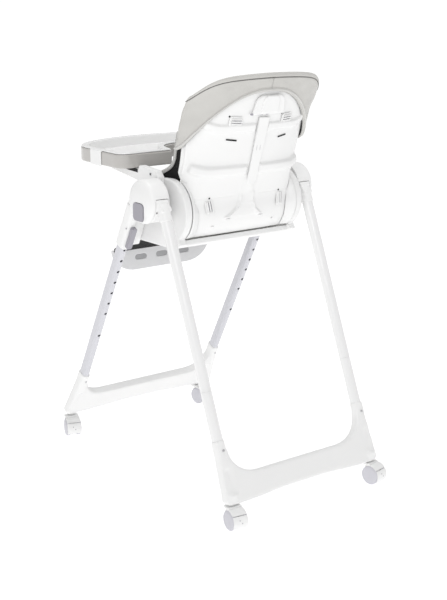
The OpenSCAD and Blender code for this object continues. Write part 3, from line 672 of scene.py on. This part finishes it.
def fill_bores(leg, half_x, half_y):
    """Moves the wall of a tube's bore inwards, inside the tube, so that the moulding round it stays whole."""
    foot, lean = leg

    def shape(me):
        for v in me.vertices:
            side = math.copysign(LEG_X, v.co.x)
            dy, dz = v.co.y - foot, v.co.z
            across = dy * math.cos(lean) - dz * math.sin(lean)
            along = dy * math.sin(lean) + dz * math.cos(lean)
            dx = v.co.x - side
            if abs(dx) < half_x and abs(across) < half_y and dx * dx + across * across < half_y * half_y:
                across *= 0.72
                v.co.x = side + dx * 0.72
                v.co.y = foot + across * math.cos(lean) + along * math.sin(lean)
                v.co.z = along * math.cos(lean) - across * math.sin(lean)
    return shape


def deeper_pocket(me):
    for v in me.vertices:
        if abs(abs(v.co.x) - 0.250) < 0.0004:
            v.co.x = math.copysign(0.2475, v.co.x)


def deeper_buckle(me):
    for v in me.vertices:
        if abs(v.co.y + 0.039) < 0.0004:
            v.co.y = -0.0362


FRONT_BORE = fill_bores(FRONT_LEG, 0.01055, 0.01655)
REAR_BORE = fill_bores(REAR_LEG, 0.01425, 0.01425)

soften("front_base_moulding", ["front_base"], 0.0024, 46, WHITE, shape=FRONT_BORE,
       hold=lambda c: step(0.2074 - c[:, 2], 0.004, 0.030) * 0.9 + 0.1, ratio=0.4)
soften("rear_base_moulding", ["rear_base"], 0.0024, 46, WHITE, shape=REAR_BORE,
       hold=lambda c: step(0.2019 - c[:, 2], 0.004, 0.030) * 0.9 + 0.1, ratio=0.4)
for side in ("left", "right"):
    soften(side + "_hub_housing", [side + "_hub", side + "_hub_cover"], 0.0014, 8, WHITE,
           shape=deeper_pocket, ratio=0.6)
    soften(side + "_leg_knuckle", [side + "_knuckle"], 0.0014, 7, WHITE, shape=REAR_BORE, ratio=0.6)
    soften(side + "_seat_slider", [side + "_slider"], 0.0017, 6, WHITE, ratio=0.6)
    soften(side + "_arm", [side + "_armrest"], 0.0015, 9, WHITE, ratio=0.6)


def shorten_bar(me):
    for v in me.vertices:
        if v.co.z < 0.664 and v.co.y > 0.112 and abs(v.co.x) > 0.176:
            v.co.x = math.copysign(0.176, v.co.x)


soften("seat_moulding", ["seat_base"], 0.0022, 10, WHITE, shape=shorten_bar, ratio=0.5)
soften("tray_rim", ["tray_base"], 0.0018, 18, TRAY_GREY, ratio=0.5)
soften("tray_top", ["top_tray"], 0.0016, 6, TRAY_WHITE, ratio=0.5)
soften("foot_plate", ["footrest"], 0.0016, 7, LIGHT_GREY_AND_SLIT_SHADE, ratio=0.5)
for c in ("front_left", "front_right", "rear_left", "rear_right"):
    soften(c + "_fork", [c + "_hood"], 0.0009, 5, WHITE, ratio=0.6)
    soften(c + "_brake_pedal", [c + "_pedal"], 0.0008, 4, WHITE, ratio=0.6)
    castor_cover(c)

# ---------------------------------------------------------------- soft goods


def cushion(name, names, voxel, pressure, frames, material, body, pins=None):
    """A stuffed pad: the CAD solid's own shape, blown up a little by a cloth simulation."""
    me = merged(names)
    o = add(name, me, material, body, names)
    r = o.modifiers.new("remesh", "REMESH")
    r.mode = "VOXEL"
    r.voxel_size = voxel
    bake(o)
    rest = np.zeros(len(o.data.vertices) * 3)
    o.data.vertices.foreach_get("co", rest)
    c = o.modifiers.new("cloth", "CLOTH")
    c.settings.quality = 6
    c.settings.use_pressure = True
    c.settings.uniform_pressure_force = pressure
    c.settings.tension_stiffness = 40
    c.settings.compression_stiffness = 20
    c.settings.bending_stiffness = 2
    c.settings.effector_weights.gravity = 0
    c.collision_settings.use_collision = False
    scene = bpy.context.scene
    for f in range(1, frames + 1):
        scene.frame_set(f)
    bake(o)
    scene.frame_set(1)
    now = np.zeros(len(o.data.vertices) * 3)
    o.data.vertices.foreach_get("co", now)
    move = (now - rest).reshape(-1, 3)
    far = np.linalg.norm(move, axis=1, keepdims=True)
    cap = 0.007
    move = move * np.minimum(1, cap / np.maximum(far, 1e-9))
    o.data.vertices.foreach_set("co", (rest.reshape(-1, 3) + move).ravel())
    s = o.modifiers.new("smooth", "SMOOTH")
    s.factor = 0.5
    s.iterations = 8
    u = o.modifiers.new("subdivide", "SUBSURF")
    u.levels = u.render_levels = 1
    bake(o)
    o.data.materials.clear()
    o.data.materials.append(material)
    return o


cushion("seat_pad", ["seat_cushion"], 0.006, 3.0, 12, PAD, "seat_carrier")
cushion("leg_pad", ["legrest_pad"], 0.005, 3.0, 12, PAD, "legrest")


# lower edge of the back pad, and the distance between its sewn channels
PAD_FOOT_Z = 0.712
QUILT_PITCH = 0.064


def build_back_pad():
    na, nv = ((150, 130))
    a = np.radians(np.linspace(-90, 90, na))
    k = np.abs(np.sin(a))
    hi = np.minimum(1.030, top_z(k) - 0.002)
    v = np.linspace(0, 1, nv)[:, None]
    z = PAD_FOOT_Z + (hi - PAD_FOOT_Z) * v
    aa = np.broadcast_to(a, z.shape)
    rim = np.minimum(np.minimum(v * 1.0, (1 - v) * 1.0) * 0.32, (np.radians(90) - np.abs(aa)) * 0.12)
    puff = np.clip(rim / 0.012, 0, 1) ** 0.5
    channel = np.abs(np.sin((z - PAD_FOOT_Z) * math.pi / QUILT_PITCH)) ** 0.35
    quilt = 0.004 * (channel - 1) * step(0.9 - np.abs(aa), 0, 0.12)
    inner = back_point(aa, z, -0.0105 - 0.0165 * puff - quilt, False)
    outer = back_point(aa, z, np.full_like(z, -0.0062), False)
    rows = np.concatenate([outer, inner[::-1]], 0)
    me = grid_mesh("back_pad", rows, closed_v=True)
    bm = bmesh.new()
    bm.from_mesh(me)
    bmesh.ops.holes_fill(bm, edges=[e for e in bm.edges if e.is_boundary], sides=0)
    bmesh.ops.recalc_face_normals(bm, faces=bm.faces)
    bm.to_mesh(me)
    bm.free()
    o = add("back_pad", me, PAD, "backrest", ["back_cushion"])
    return o


build_back_pad()


def ribbon(name, path, width_axis, width, thick, body, replaces=()):
    """A flat strap along path. width_axis is its constant sideways direction."""
    path = [Vector(p) for p in path]
    side = Vector(width_axis).normalized()
    rows = []
    for i, p in enumerate(path):
        d = (path[min(i + 1, len(path) - 1)] - path[max(i - 1, 0)]).normalized()
        n = d.cross(side).normalized()
        ring = []
        for u, v in rounded(width, thick, thick * 0.45, 3):
            ring.append(p + side * u + n * v)
        rows.append([tuple(q) for q in ring])
    me = grid_mesh(name, np.array(rows), closed_u=True)
    bm = bmesh.new()
    bm.from_mesh(me)
    bmesh.ops.holes_fill(bm, edges=[e for e in bm.edges if e.is_boundary], sides=0)
    bmesh.ops.recalc_face_normals(bm, faces=bm.faces)
    bm.to_mesh(me)
    bm.free()
    return add(name, me, WEB, body, replaces)


for s in (1, -1):
    side = "left" if s > 0 else "right"
    path = []
    for i in range(30):
        t = i / 29
        z = 0.903 - 0.140 * t
        y = float(back_y(np.array(z))) - 0.0345 - 0.004 * math.sin(t * 3.0)
        path.append((s * (0.078 - 0.016 * t), y, z))
    ribbon("shoulder_strap_" + side, path, (1, 0, 0), 0.028, 0.0022, "backrest",
           ["shoulder_straps"] if s > 0 else [])
    path = []
    for i in range(30):
        t = i / 29
        path.append((s * (0.0245 + 0.118 * t), -0.038 + 0.018 * math.sin(t * 1.6),
                     0.722 - 0.012 * math.sin(t * 3.1)))
    ribbon("waist_strap_" + side, path, (0, 0, 1), 0.022, 0.0022, "seat_carrier",
           ["waist_straps"] if s > 0 else [])
path = [(0, -0.038 + 0.004 * math.sin(i / 5), 0.6995 - 0.020 * i / 14) for i in range(15)]
ribbon("crotch_strap", path, (1, 0, 0), 0.026, 0.0024, "seat_carrier")
soften("buckle_body", ["harness_buckle"], 0.0008, 6, BUTTON_AND_GAP_SHADE, shape=deeper_buckle, ratio=0.4)

# black side liners: one plate inside each cheek and one sheet up to the back's front edge, with a welted seam
# how far the welted seam is from the middle
WELT_X = 0.1585
WELT_LINE = [(0.060, 0.918), (0.0530, 0.895), (0.0475, 0.870), (0.0440, 0.852), (0.0370, 0.8385),
             (0.0250, 0.8275),
             (0.0100, 0.8190), (-0.014, 0.8090), (-0.040, 0.800)]


def curve(knots, n):
    """n points along smooth curve through knots."""
    k = np.array(knots)
    d = np.concatenate([[0], np.cumsum(np.linalg.norm(np.diff(k, axis=0), axis=1))])
    t = np.linspace(0, d[-1], n)
    out = np.stack([np.interp(t, d, k[:, i]) for i in range(k.shape[1])], 1)
    for _ in range(3):
        out[1:-1] = (out[:-2] + 2 * out[1:-1] + out[2:]) / 4
    return out


for s in (1, -1):
    side = "left" if s > 0 else "right"
    turn = Matrix(((0, 0, 1, 0.152 if s > 0 else -0.158), (1, 0, 0, 0), (0, 1, 0, 0), (0, 0, 0, 1)))
    low = [(-0.105, 0.692), (0.024, 0.692), (0.044, 0.730), (0.056, 0.785), (0.070, 0.845), (0.0450, 0.8465),
           (0.0360, 0.8350), (0.0240, 0.8240), (0.0060, 0.8150), (-0.015, 0.804), (-0.060, 0.790), (-0.125,
                                                                                                    0.735)]
    plate("liner_side_" + side, low, 0.0055, 0.0020, turn, BLACK, "seat_carrier",
          ["side_liner"] if s > 0 else [])
    top = curve(WELT_LINE[:6], 40)
    rows = []
    for i, (y, z) in enumerate(top):
        z = max(z, 0.80)
        ye = float(edge_y(np.array(z))) + 0.004
        we = float(half_w(np.array(z))) - 0.0065
        line = []
        for j in range(14):
            t = j / 13
            sag = 0.004 * math.sin(math.pi * t)
            line.append((s * (0.1565 * (1 - t) + we * t - sag), y * (1 - t) + ye * t, z))
        rows.append(line)
    me = grid_mesh("liner_sheet_" + side, np.array(rows))
    o = add("liner_sheet_" + side, me, BLACK, "backrest")
    thick = o.modifiers.new("thick", "SOLIDIFY")
    thick.thickness = 0.0014
    thick.offset = 0
    bake(o)
    pts = curve([(s * WELT_X, y, z) for y, z in WELT_LINE], 60)
    c = tube("liner_welt_" + side, pts.tolist(), 0.0050, WELT, "seat_carrier")
    co = np.zeros(len(c.data.vertices) * 3)
    c.data.vertices.foreach_get("co", co)
    co = co.reshape(-1, 3)
    co[:, 0] = s * WELT_X + (co[:, 0] - s * WELT_X) * 0.7
    c.data.vertices.foreach_set("co", co.ravel())
    tube("liner_seam_" + side, [(p[0] + s * 0.0036, p[1] + 0.0004, p[2]) for p in pts.tolist()], 0.0006,
         THREAD,
         "seat_carrier")

# end fairings: they fill the step between the rounded lower end of the back and the cheeks,
# and turn with the back
for s in (1, -1):
    side = "left" if s > 0 else "right"
    rows = []
    for z in np.linspace(0.6560, 0.7985, 44):
        inner = 0.1390 + 0.0235 * step(z, 0.714, 0.7985)
        k = inner / 0.1645
        e = float(section(z))
        ys = float(edge_y(z) + (back_y(z) - edge_y(z)) * max(0, 1 - k ** (2 / e)) ** (e / 2)) + 0.0006
        yc = 0.050 + math.sqrt(max(0, 0.0808 ** 2 - (z - 0.722) ** 2))
        line = []
        for j in range(16):
            t = j / 15
            line.append((s * (inner + (0.1655 - inner) * t), ys + (yc - ys) * step(t, -0.15, 1.0), z))
        rows.append(line)
    me = grid_mesh("cheek_fairing_" + side, np.array(rows))
    o = add("cheek_fairing_" + side, me, WHITE, "backrest")
    thick = o.modifiers.new("thick", "SOLIDIFY")
    thick.thickness = 0.0010
    thick.offset = 0
    bake(o)

# footrest: grey plates of painted shade in its three slots
for i, x in enumerate((-0.074, 0.0, 0.070)):
    place = Matrix(((1, 0, 0, x), (0, 0, -1, -0.2572), (0, 1, 0, 0.534), (0, 0, 0, 1)))
    plate("foot_pad_%d" % i, rounded(0.0385, 0.0145, 0.0070), 0.0030, 0.0008, place, FOOT_SLOT_SHADE, "legrest")

# ---------------------------------------------------------------- small marks on the moulded parts, and painted shade in the armrest gaps


# painted shade: outline of the dark plate that stands for the gap along each armrest
ARM_GAP_SHADE = [(-0.168, 0.8172), (-0.054, 0.8172), (-0.054, 0.8078), (-0.100, 0.8100), (-0.140, 0.8132),
           (-0.168, 0.8158)]
for s in (1, -1):
    side = "left" if s > 0 else "right"
    turn = Matrix(((0, 0, s, 0.2052 * s), (1, 0, 0, 0), (0, s, 0, 0), (0, 0, 0, 1)))
    gap = ARM_GAP_SHADE if s > 0 else [(y, -z) for y, z in ARM_GAP_SHADE]
    # painted shade: a dark plate along the armrest's gap
    plate("arm_gap_shade_" + side, gap, 0.0008, 0.0001, turn, DARK_MARKS_AND_GAP_SHADE, "seat_carrier")
    disc("knuckle_screw_" + side, (s * 0.2434, 0.0870, 0.7290), (s, 0.10, 0), 0.0026, DARK_MARKS_AND_GAP_SHADE, "rear_frame")
    disc("hub_screw_" + side, (s * 0.2406, -0.0210, 0.7180), (s, 0, 0), 0.0026, DARK_MARKS_AND_GAP_SHADE, "front_frame")
    disc("slider_screw_" + side, (s * 0.2408, -0.0590, 0.6660), (s, 0.05, 0), 0.0022, BUTTON_AND_GAP_SHADE, "seat_carrier")
    disc("arm_screw_rim_" + side, (s * 0.2054, 0.0050, 0.8110), (s, 0, 0), 0.0048, LIGHT_GREY_AND_SLIT_SHADE, "seat_carrier",
         0.0010)
    disc("arm_screw_head_" + side, (s * 0.2060, 0.0050, 0.8110), (s, 0, 0), 0.0028, DARK_MARKS_AND_GAP_SHADE, "seat_carrier",
         0.0010)

# ---------------------------------------------------------------- stage, light, camera


def build_stage():
    rows = [[(x, y, 0.0) for x in (-400, -40, -4, 4, 40, 400)] for y in (-400, -40, -4, 4, 40, 400)]
    me = grid_mesh("studio_floor", np.array(rows))
    o = bpy.data.objects.new("studio_floor", me)
    bpy.context.scene.collection.objects.link(o)
    m = surface("studio_white", (0.80, 0.80, 0.80), 0.95, grain=40, bump=0.0, vary=0.0, spec=0.0)
    p = m.node_tree.nodes["Principled BSDF"]
    p.inputs["Emission Color"].default_value = (1, 1, 1, 1)
    p.inputs["Emission Strength"].default_value = 0.56
    me.materials.append(m)


build_stage()
scene = bpy.context.scene
scene.view_settings.view_transform = "Standard"
world = bpy.data.worlds.new("studio")
scene.world = world
world.use_nodes = True
world.node_tree.nodes["Background"].inputs["Color"].default_value = (1.0, 1.0, 1.0, 1)
world.node_tree.nodes["Background"].inputs["Strength"].default_value = 0.62


def area(name, at, to, size, power, color=(1, 1, 1)):
    d = bpy.data.lights.new(name, "AREA")
    d.shape = "RECTANGLE"
    d.size, d.size_y = size
    d.energy = power
    d.color = color
    o = bpy.data.objects.new(name, d)
    scene.collection.objects.link(o)
    o.location = at
    o.rotation_mode = "QUATERNION"
    o.rotation_quaternion = (Vector(to) - Vector(at)).to_track_quat("-Z", "Y")


area("key_soft", (2.4, 2.3, 2.2), (0, 0.05, 0.55), (1.2, 1.2), 18)
area("top_soft", (-0.2, -0.2, 3.2), (0, 0, 0.6), (1.4, 1.4), 24)

cam = bpy.data.cameras.new("camera")
cam.lens = 70.80
cam.sensor_width = 36
view = bpy.data.objects.new("camera", cam)
scene.collection.objects.link(view)
fw = Vector((-0.5800, -0.7724, -0.2589)).normalized()
right = Vector((-0.7997, 0.6004, 0)).normalized()
up = right.cross(fw)
m = Matrix((right, up, -fw)).transposed().to_4x4()
m.translation = (1.81807, 2.45566, 1.27034)
view.matrix_world = m
cam.clip_end = 200
scene.camera = view
